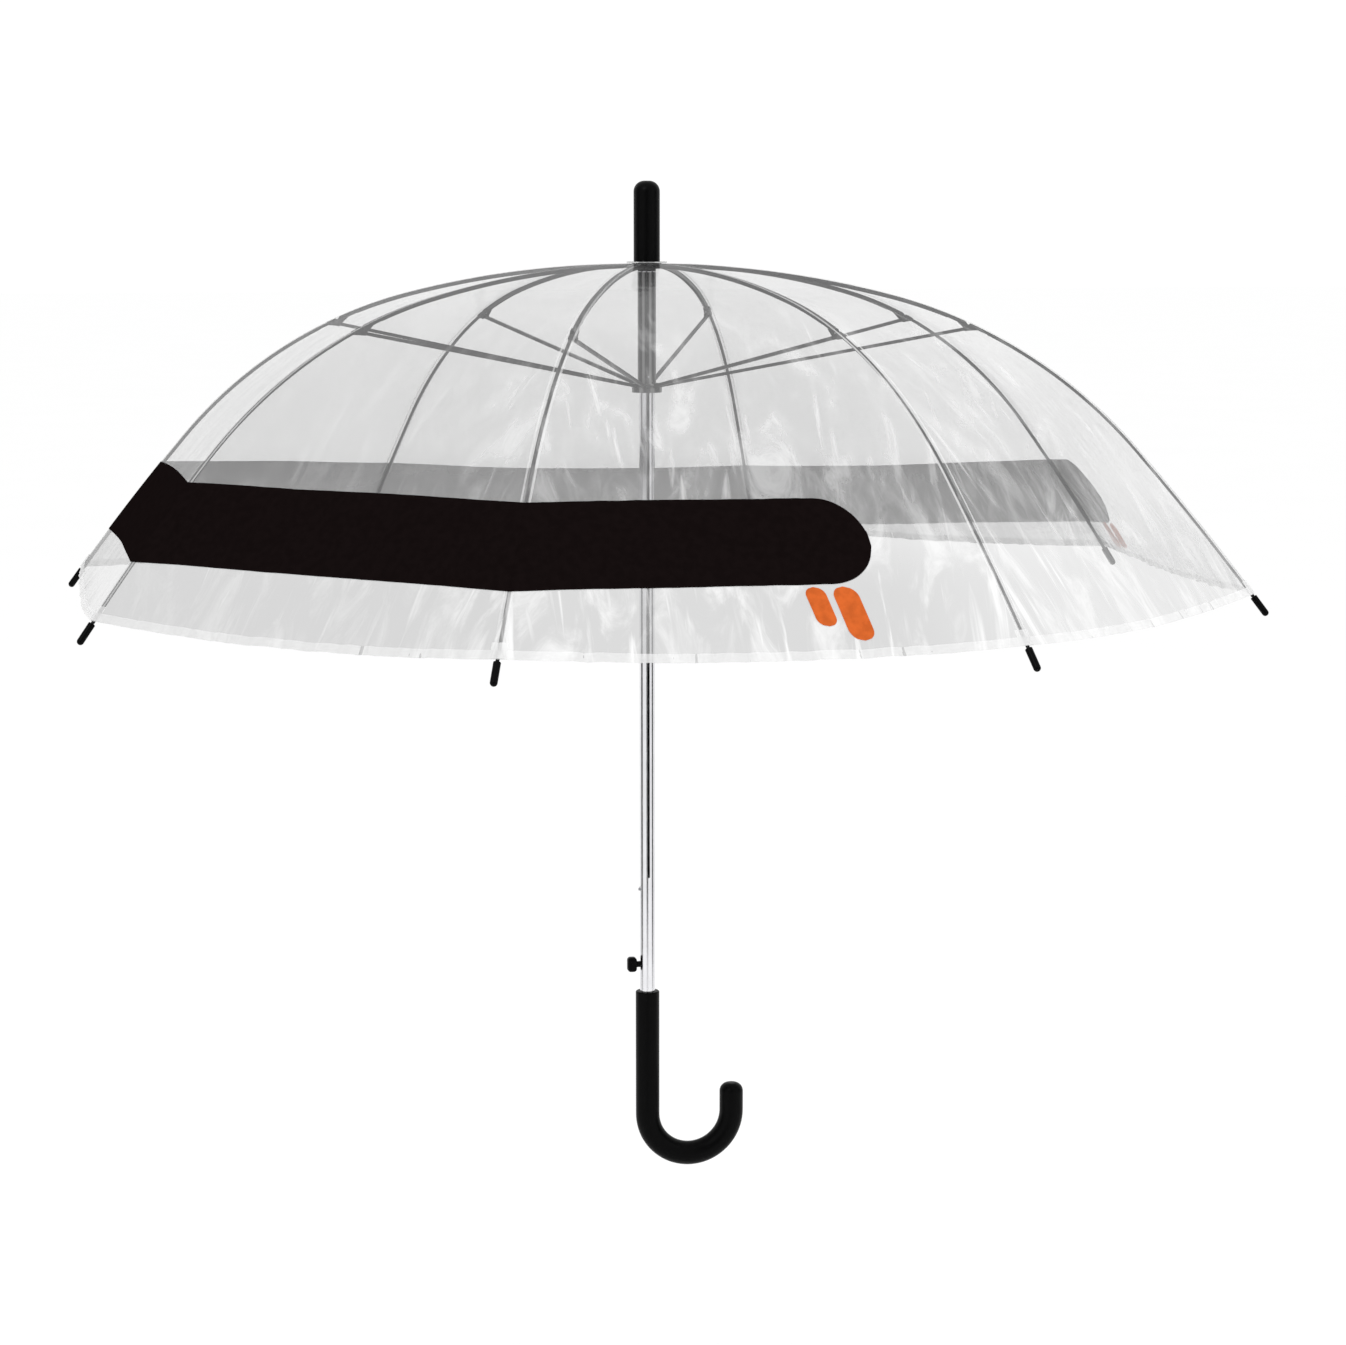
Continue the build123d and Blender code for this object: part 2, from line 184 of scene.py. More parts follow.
class Board:
    """A node tree, with short calls to place its nodes and to wire them."""

    def __init__(self, tree: bpy.types.NodeTree) -> None:
        """Take an empty node tree.

        Args:
            tree: The tree that the nodes go in.
        """
        self.tree = tree

    def node(self, kind: str, settings: dict[str, object] | None = None, **values: object) -> bpy.types.Node:
        """Place a node.

        Args:
            kind: The node's Blender type.
            settings: Properties of the node itself.
            **values: Input values, by socket name, with underscores for spaces.

        Returns:
            The new node.
        """
        made = self.tree.nodes.new(kind)
        for key, value in (settings or {}).items():
            setattr(made, key, value)
        for key, value in values.items():
            made.inputs[key.replace("_", " ")].default_value = value
        return made

    def wire(self, source: Socket, *targets: Socket) -> None:
        """Join one output to one or more inputs."""
        for target in targets:
            self.tree.links.new(source, target)

    def give(self, target: Socket, value: Socket | float | Sequence[float]) -> None:
        """Feed an input.

        Args:
            target: The input.
            value: The output to wire to it, or the plain value to set.
        """
        if isinstance(value, bpy.types.NodeSocket):
            self.wire(value, target)
        else:
            target.default_value = value

    def math(self, operation: str, *terms: Socket | float, clamp: bool = False) -> Socket:
        """Work out a value.

        Args:
            operation: The kind of sum.
            *terms: Its inputs in order.
            clamp: Whether the result is kept from 0 to 1.

        Returns:
            The result's socket.
        """
        worked = self.node("ShaderNodeMath", {"operation": operation, "use_clamp": clamp})
        for place, term in enumerate(terms):
            self.give(worked.inputs[place], term)
        return worked.outputs[0]

    def scaled(self, colour: Socket | Tint, share: Socket) -> Socket:
        """Brighten or darken a colour.

        Args:
            colour: The colour.
            share: What it is multiplied by.

        Returns:
            The new colour's socket.
        """
        shade = self.node("ShaderNodeVectorMath", {"operation": "SCALE"})
        self.give(shade.inputs[0], colour)
        self.give(shade.inputs["Scale"], share)
        return shade.outputs[0]

    def mix(self, share: Socket, first: Socket | Sequence[float], second: Sequence[float]) -> Socket:
        """Mix two colours.

        Args:
            share: How much of the second colour there is.
            first: The first colour.
            second: The second colour.

        Returns:
            The mixed colour's socket.
        """
        mixed = self.node("ShaderNodeMix", {"data_type": "RGBA"})
        for place, value in ((MixSocket.SHARE, share), (MixSocket.FIRST, first), (MixSocket.SECOND, second)):
            self.give(mixed.inputs[place], value)
        return mixed.outputs[MixSocket.RESULT]

    def ramp(self, source: Socket, low: float, high: float, to_low: float, to_high: float) -> Socket:
        """Map a value from one range to another.

        Args:
            source: The value.
            low: The value that gives to_low.
            high: The value that gives to_high.
            to_low: Result at low.
            to_high: Result at high.

        Returns:
            The mapped value's socket.
        """
        mapped = self.node("ShaderNodeMapRange", {"interpolation_type": "SMOOTHSTEP"})
        for key, value in zip(("From Min", "From Max", "To Min", "To Max"), (low, high, to_low, to_high)):
            mapped.inputs[key].default_value = value
        self.wire(source, mapped.inputs["Value"])
        return mapped.outputs["Result"]

    def relief(self, height: Socket, target: Socket, strength: float, depth: float) -> None:
        """Raise a surface's grain.

        Args:
            height: The grain's height.
            target: The shader's Normal input.
            strength: How strong the relief is.
            depth: How deep it is, in metres.
        """
        bump = self.node("ShaderNodeBump", Strength=strength, Distance=depth)
        self.wire(height, bump.inputs["Height"])
        self.wire(bump.outputs["Normal"], target)


def new_material(name: str) -> tuple[bpy.types.Material, Board, bpy.types.Node]:
    """Start a material that holds one Principled shader.

    Args:
        name: The material's name.

    Returns:
        The material, its board and its Principled node.
    """
    material = bpy.data.materials.new(name)
    material.use_nodes = True
    board = Board(material.node_tree)
    shader = next(n for n in material.node_tree.nodes if n.type == "BSDF_PRINCIPLED")
    return material, board, shader


def grain_group() -> bpy.types.ShaderNodeTree:
    """Make the shared surface grain: a soft mottle, fine specks and long handling scuffs.

    Returns:
        A node group that turns one colour and roughness into ones that vary, with a height for bump.
    """
    tree = bpy.data.node_groups.new("surface_grain", "ShaderNodeTree")
    colour, number = "NodeSocketColor", "NodeSocketFloat"
    sockets = {
        "INPUT": (("Tint", colour), ("Spread", number), ("Scale", number), ("Roughness", number),
                  ("Scuffs", number)),
        "OUTPUT": (("Tint", colour), ("Roughness", number), ("Height", number)),
    }
    for way, listed in sockets.items():
        for name, kind in listed:
            tree.interface.new_socket(name, in_out=way, socket_type=kind)
    board = Board(tree)
    given = board.node("NodeGroupInput")
    result = board.node("NodeGroupOutput")
    place = board.node("ShaderNodeTexCoord")
    mottle = board.node("ShaderNodeTexNoise", Scale=45.0, Detail=5.0, Roughness=0.6)
    speck = board.node("ShaderNodeTexNoise", Detail=3.0, Roughness=0.5)
    stretch = board.node("ShaderNodeMapping", Scale=(900.0, 900.0, 60.0))
    scuff = board.node("ShaderNodeTexNoise", Scale=1.0, Detail=2.0, Roughness=0.7)
    board.wire(place.outputs["Object"], *(made.inputs["Vector"] for made in (mottle, speck, stretch)))
    board.wire(given.outputs["Scale"], speck.inputs["Scale"])
    board.wire(stretch.outputs["Vector"], scuff.inputs["Vector"])

    mottling = board.ramp(mottle.outputs["Fac"], *NOISE_SPAN, -1.0, 1.0)
    lift = board.math("MULTIPLY_ADD", mottling, given.outputs["Spread"], 1.0)
    board.wire(board.scaled(given.outputs["Tint"], lift), result.inputs["Tint"])

    scuff_low, scuff_high = 0.62, 0.72
    scratches = board.ramp(scuff.outputs["Fac"], scuff_low, scuff_high, 0.0, 1.0)
    scratch = board.math("MULTIPLY", scratches, given.outputs["Scuffs"])
    smoothest, roughest = 0.85, 1.2
    specks = board.ramp(speck.outputs["Fac"], *NOISE_SPAN, smoothest, roughest)
    rough = board.math("MULTIPLY", given.outputs["Roughness"], specks)
    board.wire(board.math("ADD", rough, scratch, clamp=True), result.inputs["Roughness"])
    board.wire(board.math("SUBTRACT", speck.outputs["Fac"], scratch), result.inputs["Height"])
    return tree


@dataclass(frozen=True)
class HardFinish:
    """A plastic or metal surface with grain, handling scuffs and a little relief."""

    name: str
    tint: Tint
    roughness: float
    metallic: float = 0.0
    specular: float = 0.5
    spread: float = 0.12
    grain: float = 900.0
    scuffs: float = 0.1
    relief: float = 0.00004
    relief_strength: float = 0.5
    # Pale upright stripes turned to face the front: painted highlights.
    highlight_stripe_count: int = 0
    stripe_highlight_tint: float = 0.17
    stripe_highlight_phase: float = math.radians(-100.5)
    stripe_highlight_edges: Span = (-0.9, 0.2)

    def stripe_highlights(self, board: Board, tint: Socket) -> Socket:
        """Paint pale upright stripes round a sleeve, as highlights turned to the front.

        Args:
            board: The material's board.
            tint: The colour between the stripes.

        Returns:
            The colour with the painted highlights.
        """
        place = board.node("ShaderNodeTexCoord")
        parts = board.node("ShaderNodeSeparateXYZ")
        board.wire(place.outputs["Object"], parts.inputs[0])
        turn = board.math("ARCTAN2", parts.outputs["Y"], parts.outputs["X"])
        phase = board.math("MULTIPLY_ADD", turn, float(self.highlight_stripe_count), -self.highlight_stripe_count * self.stripe_highlight_phase)
        wave = board.math("COSINE", phase)
        return board.mix(board.ramp(wave, *self.stripe_highlight_edges, 1.0, 0.0), tint, grey(self.stripe_highlight_tint))

    def build(self, grain: bpy.types.ShaderNodeTree) -> bpy.types.Material:
        """Make the material.

        Args:
            grain: The shared grain group.

        Returns:
            The finished material.
        """
        material, board, shader = new_material(self.name)
        shader.inputs["Metallic"].default_value = self.metallic
        shader.inputs["Specular IOR Level"].default_value = self.specular
        surface = board.node("ShaderNodeGroup", {"node_tree": grain})
        surface.inputs["Tint"].default_value = (*self.tint, 1.0)
        for key, value in (("Spread", self.spread), ("Scale", self.grain), ("Roughness", self.roughness),
                           ("Scuffs", self.scuffs)):
            surface.inputs[key].default_value = value
        tint = surface.outputs["Tint"]
        board.wire(self.stripe_highlights(board, tint) if self.highlight_stripe_count else tint, shader.inputs["Base Color"])
        board.wire(surface.outputs["Roughness"], shader.inputs["Roughness"])
        board.relief(surface.outputs["Height"], shader.inputs["Normal"], self.relief_strength, self.relief)
        return material


@dataclass(frozen=True)
class FilmFinish:
    """Clear plastic film: faintly milky, glossy, with pale streaks: part fold whitening, part painted highlight.

    A haze is how much of the light one layer stops. Each span says where an effect comes in: streaks and
    clouds by their noise, lit and highlight shares by the per-gore attribute, the others by station in metres.
    The lit gores' paler tint and clearer film are painted light.
    """

    name: str
    smooth_haze: float = 0.35
    # Less haze on the lit gores: painted light, making them paler.
    lit_creased_haze: float = 0.27
    crown_share: float = 0.82
    foot_share: float = 1.6
    smooth_tint: float = 0.375
    # Paler tint on the lit gores: painted light.
    lit_creased_tint: float = 0.46
    crown_tint: float = 0.62
    # White and extra haze along the streaks: painted highlights, partly real fold whitening.
    crease_highlight_white: float = 0.95
    crease_highlight_haze: float = 0.15
    roughness: float = 0.16
    roughness_spread: Span = (0.6, 1.5)
    streak_share: float = 0.9
    cloud_share: float = 0.65
    crown_crease_highlights: float = 0.08
    refraction: float = 1.48
    specular: float = 0.45
    gloss: float = 0.2
    gloss_roughness: float = 0.05
    relief: float = 0.0008
    relief_strength: float = 0.35
    streak_cells: Span = (95.0, 9.0)
    streak_lean: float = 0.05
    streak_span: Span = (0.54, 0.76)
    cloud_cells: Span = (30.0, 11.0)
    cloud_lean: float = -0.22
    cloud_span: Span = (0.46, 0.70)
    creased_highlight_span: Span = (0.15, 0.75)
    lit_gore_span: Span = (0.76, 1.0)
    crease_highlight_span: Span = (0.15, 0.32)
    tint_span: Span = (0.10, 0.24)
    crown_span: Span = (0.22, 0.40)
    foot_span: Span = (0.47, 0.55)
    follows_film: bool = True

    def flaws(self, board: Board, place: Socket, cells: Span, lean: float, **grain: float) -> Socket:
        """Draw stretched noise on the film.

        Args:
            board: The material's board.
            place: The place on the film.
            cells: How many cells of noise a metre holds, across and along the rib.
            lean: Angle by which the cells lean.
            **grain: The noise's own settings.

        Returns:
            The noise's socket.
        """
        laid = board.node("ShaderNodeMapping", Scale=(*cells, 1.0), Rotation=(0.0, 0.0, lean))
        texture = board.node("ShaderNodeTexNoise", Scale=1.0, **grain)
        board.wire(place, laid.inputs["Vector"])
        board.wire(laid.outputs["Vector"], texture.inputs["Vector"])
        return texture.outputs["Fac"]

    def build(self) -> bpy.types.Material:
        """Make the material.

        Returns:
            The finished film, whose streaks follow its own UV map and whose painted highlights
            follow its per-gore attribute.
        """
        material, board, shader = new_material(self.name)
        for key, value in (("IOR", self.refraction), ("Specular IOR Level", self.specular),
                           ("Coat Weight", self.gloss), ("Coat Roughness", self.gloss_roughness)):
            shader.inputs[key].default_value = value
        if self.follows_film:
            place = board.node("ShaderNodeUVMap", {"uv_map": "film"}).outputs["UV"]
        else:
            place = board.node("ShaderNodeTexCoord").outputs["Object"]
        creased_and_lit = board.node("ShaderNodeAttribute", {"attribute_name": "crease"}).outputs["Fac"]
        parts = board.node("ShaderNodeSeparateXYZ")
        board.wire(place, parts.inputs[0])
        station = parts.outputs["Y"]

        streaks = self.flaws(board, place, self.streak_cells, self.streak_lean,
                             Detail=3.0, Roughness=0.55, Distortion=0.5)
        clouds = self.flaws(board, place, self.cloud_cells, self.cloud_lean,
                            Detail=6.0, Roughness=0.6, Distortion=1.1)
        # Streaks and clouds: painted highlights, partly real fold whitening; they also raise the bump.
        marks = board.math("MAXIMUM", board.ramp(streaks, *self.streak_span, 0.0, self.streak_share),
                           board.ramp(clouds, *self.cloud_span, 0.0, self.cloud_share))
        lower = board.math("MULTIPLY", marks, board.ramp(station, *self.crease_highlight_span, self.crown_crease_highlights, 1.0))
        creases_and_highlights = board.math("MULTIPLY", lower, board.ramp(creased_and_lit, *self.creased_highlight_span, 0.0, 1.0), clamp=True)
        # Share of the lit gores, which get a paler tint and less haze: painted light.
        loose = board.ramp(creased_and_lit, *self.lit_gore_span, 0.0, 1.0)

        base = board.mix(loose, grey(self.smooth_tint), grey(self.lit_creased_tint))
        shaded = board.scaled(base, board.ramp(station, *self.tint_span, self.crown_tint, 1.0))
        # Lay the painted white highlights over the film's tint.
        board.wire(board.mix(creases_and_highlights, shaded, grey(self.crease_highlight_white)), shader.inputs["Base Color"])

        hazed = board.math("MULTIPLY", board.ramp(loose, 0.0, 1.0, self.smooth_haze, self.lit_creased_haze),
                           board.ramp(station, *self.crown_span, self.crown_share, 1.0))
        haze = board.math("MULTIPLY", hazed, board.ramp(station, *self.foot_span, 1.0, self.foot_share))
        board.wire(board.math("MULTIPLY_ADD", creases_and_highlights, self.crease_highlight_haze, haze, clamp=True),
                   shader.inputs["Alpha"])
        smoothest, roughest = (self.roughness * share for share in self.roughness_spread)
        board.wire(board.ramp(clouds, *NOISE_SPAN, smoothest, roughest), shader.inputs["Roughness"])
        board.relief(marks, shader.inputs["Normal"], self.relief_strength, self.relief)
        return material


@dataclass(frozen=True)
class InkFinish:
    """Screen-printed ink: flat colour with faint mottling and the dots of the screen."""

    name: str
    tint: Tint
    roughness: float = 0.55
    tint_spread: Span = (0.9, 1.12)
    roughness_spread: Span = (0.85, 1.15)
    relief: float = 0.00003
    relief_strength: float = 0.2

    def build(self) -> bpy.types.Material:
        """Make the material.

        Returns:
            The finished ink.
        """
        material, board, shader = new_material(self.name)
        shader.inputs["Specular IOR Level"].default_value = 0.0
        place = board.node("ShaderNodeTexCoord")
        mottle = board.node("ShaderNodeTexNoise", Scale=160.0, Detail=4.0)
        dots = board.node("ShaderNodeTexVoronoi", Scale=1400.0)
        board.wire(place.outputs["Object"], mottle.inputs["Vector"], dots.inputs["Vector"])
        mottling = mottle.outputs["Fac"]
        board.wire(board.scaled(self.tint, board.ramp(mottling, *NOISE_SPAN, *self.tint_spread)),
                   shader.inputs["Base Color"])
        smoothest, roughest = (self.roughness * share for share in self.roughness_spread)
        board.wire(board.ramp(mottling, *NOISE_SPAN, smoothest, roughest), shader.inputs["Roughness"])
        board.relief(dots.outputs["Distance"], shader.inputs["Normal"], self.relief_strength, self.relief)
        return material


@dataclass
class Finishes:
    """Every finish on the umbrella, built once."""

    film: bpy.types.Material = field(init=False)
    weld: bpy.types.Material = field(init=False)
    hem: bpy.types.Material = field(init=False)
    black_ink: bpy.types.Material = field(init=False)
    orange_ink: bpy.types.Material = field(init=False)
    sleeve: bpy.types.Material = field(init=False)
    by_slot: dict[str, bpy.types.Material] = field(init=False)

    def __post_init__(self) -> None:
        """Build the materials."""
        grain = grain_group()
        self.film = FilmFinish("clear_film").build()
        # Pale weld strips: partly real weld, partly painted highlight beside the ribs.
        self.weld = FilmFinish("welded_film", smooth_haze=0.40, lit_creased_haze=0.62, smooth_tint=0.80,
                               lit_creased_tint=0.92, foot_share=1.0).build()
        self.hem = FilmFinish("hem_film", smooth_haze=0.62, lit_creased_haze=0.62, smooth_tint=0.80,
                              lit_creased_tint=0.86, foot_share=1.0).build()
        washer = FilmFinish("washer_film", smooth_haze=0.6, smooth_tint=0.7, follows_film=False).build()
        self.black_ink = InkFinish("black_ink", (0.0062, 0.0040, 0.0040)).build()
        self.orange_ink = InkFinish("orange_ink", (0.57, 0.115, 0.024)).build()
        hard = {
            "black_plastic": HardFinish("black_plastic", (0.0008, 0.0008, 0.0009), 0.36, specular=0.06),
            "dark_plastic": HardFinish("grey_nylon", (0.030, 0.030, 0.032), 0.45, specular=0.12),
            "steel_dark": HardFinish("dark_enamelled_steel", (0.020, 0.020, 0.021), 0.36, metallic=0.15,
                                     specular=0.12, scuffs=0.2),
            "chrome": HardFinish("chromed_tube", (0.78, 0.78, 0.80), 0.13, metallic=1.0, spread=0.05,
                                 scuffs=0.12, relief=0.00001),
            "spring_steel": HardFinish("spring_steel", (0.30, 0.30, 0.32), 0.3, metallic=1.0),
        }
        self.by_slot = {slot: finish.build(grain) for slot, finish in hard.items()}
        self.by_slot["film"] = washer
        # The runner's sleeve gets pale upright stripes: painted highlights.
        self.sleeve = HardFinish("fluted_sleeve", (0.012, 0.012, 0.013), 0.42, specular=0.12,
                                 highlight_stripe_count=RIB_COUNT).build(grain)


@dataclass(frozen=True)
class InkBand:
    """A printed band round the film: stations in metres along the ribs, lower at the back than in front."""

    start: float = math.radians(12.0)
    end: float = math.radians(282.0)
    top: float = 0.460
    foot: float = 0.537
    drop: float = 0.056
    front: float = math.radians(-100.5)
    corner: float = 0.0375
    finest: float = 0.0004

    def edges(self, angle: float) -> Span:
        """Find the band's edges at an angle about the shaft.

        Args:
            angle: The angle, in radians.

        Returns:
            The stations of its top and its foot.
        """
        back = (1.0 - math.cos(angle - self.front)) / 2.0
        sunk = self.drop * back ** 3
        return self.top + sunk, self.foot + sunk

    def rounding(self, angle: float, reach: float) -> float:
        """Find how much of the band's height its round ends leave.

        Args:
            angle: The angle about the shaft, in radians.
            reach: The film's distance from the shaft.

        Returns:
            The share of the height, from near 0 at an end to 1.
        """
        gap = min(abs(angle - self.start), abs(self.end - angle)) * reach
        near = min(max(gap, self.finest), self.corner)
        return math.sqrt(max(self.corner ** 2 - (self.corner - near) ** 2, 0.0)) / self.corner


@dataclass(frozen=True)
class InkBar:
    """A small printed bar with round ends, placed in metres from a rib and along it."""

    name: str
    rib: int
    away: float
    station: float
    width: float
    height: float
    finest: float = 0.02

    def spot(self, x: float, y: float) -> Span:
        """Find a place on the bar.

        Args:
            x: From -1 to 1 over its width.
            y: From -1 to 1 over its height.

        Returns:
            The distance from the rib and the station.
        """
        tall, radius = self.height / 2.0, self.width / 2.0
        into = max(abs(y) * tall - (tall - radius), 0.0)
        narrow = math.sqrt(max(radius ** 2 - into ** 2, 0.0)) / radius
        return self.away + x * radius * max(narrow, self.finest), self.station + y * self.height / 2.0


@dataclass
class Canopy:
    """The film dome: half gores on each side of every rib, with their welds, hem, tip pockets and print.
    The pale weld strips beside each rib are partly real weld and partly painted highlight.

    The ripples give the noise's cells in a metre, across and along the rib, and its shift from gore to gore.
    """

    line: RibLine
    finishes: Finishes
    band: InkBand = field(default_factory=InkBand)
    bars: tuple[InkBar, ...] = (InkBar("ink_bar_1", 1, -0.066, 0.572, 0.015, 0.030),
                                InkBar("ink_bar_2", 1, -0.044, 0.574, 0.017, 0.034),
                                InkBar("ink_bar_3", 7, -0.141, 0.556, 0.015, 0.034),
                                InkBar("ink_bar_4", 7, -0.119, 0.562, 0.019, 0.046))
    # Per gore: how much the film wrinkles and how strong its painted highlights are, strongest on the gores the
    # lights face.
    creasing_and_highlight: tuple[float, ...] = (1.0, 0.45, 0.3, 0.2, 0.2, 0.4, 0.8, 1.0)
    blend_share: float = 0.6
    folded_share: float = 0.10
    film_start: float = 0.0052
    film_lift: float = 0.0022
    ink_lift: float = 0.00038
    hem_sag: float = 0.008
    mean_sag: float = 0.66
    hem_width: float = 0.0075
    weld_start: float = 0.030
    weld_lift: float = 0.00018
    weld_half_width: float = 0.0009
    weld_away: float = 0.0034
    strip_limit: float = 0.95
    pocket_half_width: float = 0.0065
    pocket_length: float = 0.013
    pocket_bulge: float = 0.0009
    swell: float = 0.0016
    swell_ripple: Place = (9.0, 7.0, 5.3)
    swell_shift: float = 0.5
    wrinkle: float = 0.0006
    wrinkle_ripple: Place = (42.0, 11.0, 3.1)
    pucker_ripple: Place = (120.0, 90.0, 1.7)
    ruffle: float = 0.0018
    ruffle_ripple: Place = (95.0, 12.0, 2.3)
    ruffle_height: float = 0.03
    loose_across: Span = (0.0, 0.35)
    loose_along: Span = (0.04, 0.20)
    probe: float = 0.0001
    probe_across: float = 0.001
    inside_drop: float = 0.6
    top_cells: tuple[int, int] = (48, 60)
    skirt_cells: tuple[int, int] = (72, 80)
    hem_cells: tuple[int, int] = (120, 6)
    band_cells: tuple[int, int] = (60, 16)
    bar_cells: tuple[int, int] = (10, 30)
    strip_cells: int = 8
    top_weld_rows: int = 40
    skirt_weld_rows: int = 50
    pocket_rows: int = 16
    halvings: int = 40
    cut_steps: int = 200

    def gore(self, rib: int, side: Side) -> int:
        """Number of the gore on one side of a rib."""
        return (rib + (side is Side.RIGHT)) % RIB_COUNT

    def crease(self, rib: int, across: float) -> float:
        """Find how wrinkled the film is and how strong its painted highlights are.

        Args:
            rib: The rib's number, from 0.
            across: The place across the rib, from -1 to 1.

        Returns:
            The wrinkling and painted-highlight share there, from 0 to 1.
        """
        shared = sum(self.creasing_and_highlight[self.gore(rib, side)] for side in Side) / 2
        own = self.creasing_and_highlight[self.gore(rib, Side.of(across))]
        return shared + (own - shared) * smooth_step(0.0, self.blend_share, abs(across))

    def hem_at(self, across: float) -> float:
        """Station of the film's edge, which hangs lowest between the ribs."""
        return self.line.hem + self.hem_sag * (1.0 - (1.0 - abs(across)) ** 2)

    def slack(self, rib: int, across: float, station: float) -> float:
        """Find how far the loose film strays from a taut one.

        Args:
            rib: The rib's number, from 0.
            across: The place across the rib, from -1 to 1.
            station: Distance along the rib.

        Returns:
            The distance, outwards.
        """
        side = Side.of(across)
        gore = self.gore(rib, side)
        away = -side.value * (1.0 - abs(across)) * self.line.half_gore(station, self.film_lift)

        def ripple(cells: Place, shift: float = 0.0) -> float:
            """Fixed noise at this place on the gore."""
            return noise.noise(Vector((away * cells[0], station * cells[1], gore * cells[2] + shift)))

        swell = ripple(self.swell_ripple, self.swell_shift) * self.swell
        ridge = 1.0 - abs(ripple(self.wrinkle_ripple)) * 2.0
        ridge += 0.5 * ripple(self.pucker_ripple)
        frill = ripple(self.ruffle_ripple) * smooth_step(self.line.hem - self.ruffle_height,
                                                         self.line.hem + self.hem_sag, station)
        loose = smooth_step(*self.loose_across, abs(across)) * smooth_step(*self.loose_along, station)
        return loose * (swell + ridge * self.wrinkle * self.crease(rib, across) + frill * self.ruffle)

    def point(self, rib: int, across: float, station: float, lift: float = 0.0) -> Vector:
        """Find a point of the film.

        Args:
            rib: The rib's number, from 0.
            across: From -1 to 1, the middle of one gore to the middle of the next, with the rib at 0.
            station: Distance along the rib.
            lift: Distance off the film's surface, outwards.

        Returns:
            The point in the row frame.
        """
        side = Side.of(across)
        radius, height, slope = self.line.at(station, self.film_lift)
        angle = rib_angle(rib)
        chord = heading(angle + side.value * (math.pi / 2 + HALF_GORE))
        outward = heading(angle + side.value * HALF_GORE)
        normal = outward * math.sin(slope) + Vector((0.0, 0.0, math.cos(slope)))
        taut = heading(angle) * radius + chord * (abs(across) * radius * math.sin(HALF_GORE))
        return taut + Vector((0.0, 0.0, height)) + normal * (self.slack(rib, across, station) + lift)

    def facing(self, rib: int, spot: Span, rise: float, at: Vector) -> Vector:
        """Find the way that the film faces, from a small step across it and one along it.

        Args:
            rib: The rib's number, from 0.
            spot: The place across and the station.
            rise: Distance off the film.
            at: The film's point there.

        Returns:
            The outward normal.
        """
        across, station = spot
        inwards = -1.0 if abs(across) > 0.5 else 1.0
        inner = across + Side.of(across).value * inwards * self.probe_across
        run = self.point(rib, inner, station, rise) - at
        fall = self.point(rib, across, station - self.probe, rise) - at
        tilt = run.cross(fall).normalized()
        outward = Vector((at.x, at.y, at.z - CROWN_Z + self.inside_drop))
        return tilt if tilt.dot(outward) > 0 else -tilt

    def patch(self, name: str, rib: int, cells: tuple[int, int], spot: Spot, lift: Lift,
              finish: bpy.types.Material) -> bpy.types.Object:
        """Bend a flat grid onto the film.

        Args:
            name: The piece's name.
            rib: The rib's number, from 0.
            cells: Squares across and along the grid.
            spot: Gives across and station for a place on the grid, from -1 to 1 each way.
            lift: Gives the distance off the film for a place on the grid.
            finish: The piece's material.

        Returns:
            The new piece.
        """
        cloth = bmesh.new()
        bmesh.ops.create_grid(cloth, x_segments=cells[0], y_segments=cells[1], size=1.0)
        flat = cloth.loops.layers.uv.new("film")
        marks = cloth.verts.layers.float.new("crease")
        places = {vert: spot(vert.co.x, vert.co.y) for vert in cloth.verts}
        for face in cloth.faces:
            face.smooth = True
            side = Side.of(sum(places[vert][0] for vert in face.verts))
            for loop in face.loops:
                across, station = places[loop.vert]
                away = -side.value * (1.0 - abs(across)) * self.line.half_gore(station)
                loop[flat].uv = (self.gore(rib, side) + away, station)
        normals = []
        for vert in cloth.verts:
            rise = lift(vert.co.x, vert.co.y)
            vert.co = self.point(rib, *places[vert], rise)
            # The film's per-gore attribute carries the wrinkling and the strength of the painted highlights.
            vert[marks] = self.crease(rib, places[vert][0])
            normals.append(tuple(self.facing(rib, places[vert], rise, vert.co)))
        cloth.normal_update()
        inside = Vector((0.0, 0.0, CROWN_Z - self.inside_drop))
        if sum(face.normal.dot(face.calc_center_median() - inside) for face in cloth.faces) < 0:
            bmesh.ops.reverse_faces(cloth, faces=cloth.faces[:])
        mesh = bpy.data.meshes.new(name)
        cloth.to_mesh(mesh)
        cloth.free()
        mesh.normals_split_custom_set_from_vertices(normals)
        mesh.materials.append(finish)
        piece = bpy.data.objects.new(name, mesh)
        bpy.context.scene.collection.objects.link(piece)
        return piece

    def strip(self, name: str, rib: int, ends: Span, half_width: float, rows: int,
              finish: bpy.types.Material, bulge: float = 0.0, away: float = 0.0) -> bpy.types.Object:
        """Lay a narrow strip of film over a rib.

        Args:
            name: The strip's name.
            rib: The rib's number, from 0.
            ends: Stations of its upper and lower ends.
            half_width: Half of its width.
            rows: Squares along it.
            finish: Its material.
            bulge: Extra lift along its middle.
            away: Distance of its middle from the rib.

        Returns:
            The new strip.
        """
        low, high = ends

        def spot(x: float, y: float) -> Span:
            """Find a place on the strip.

            Args:
                x: From -1 to 1 over its width.
                y: From -1 to 1 along it.

            Returns:
                The place across the rib and the station.
            """
            station = low + (high - low) * (y + 1.0) / 2.0
            across = (away + x * half_width) / self.line.half_gore(station)
            return max(-self.strip_limit, min(self.strip_limit, across)), station

        return self.patch(name, rib, (self.strip_cells, rows), spot,
                          lambda x, y: self.weld_lift + bulge * (1.0 - x * x), finish)

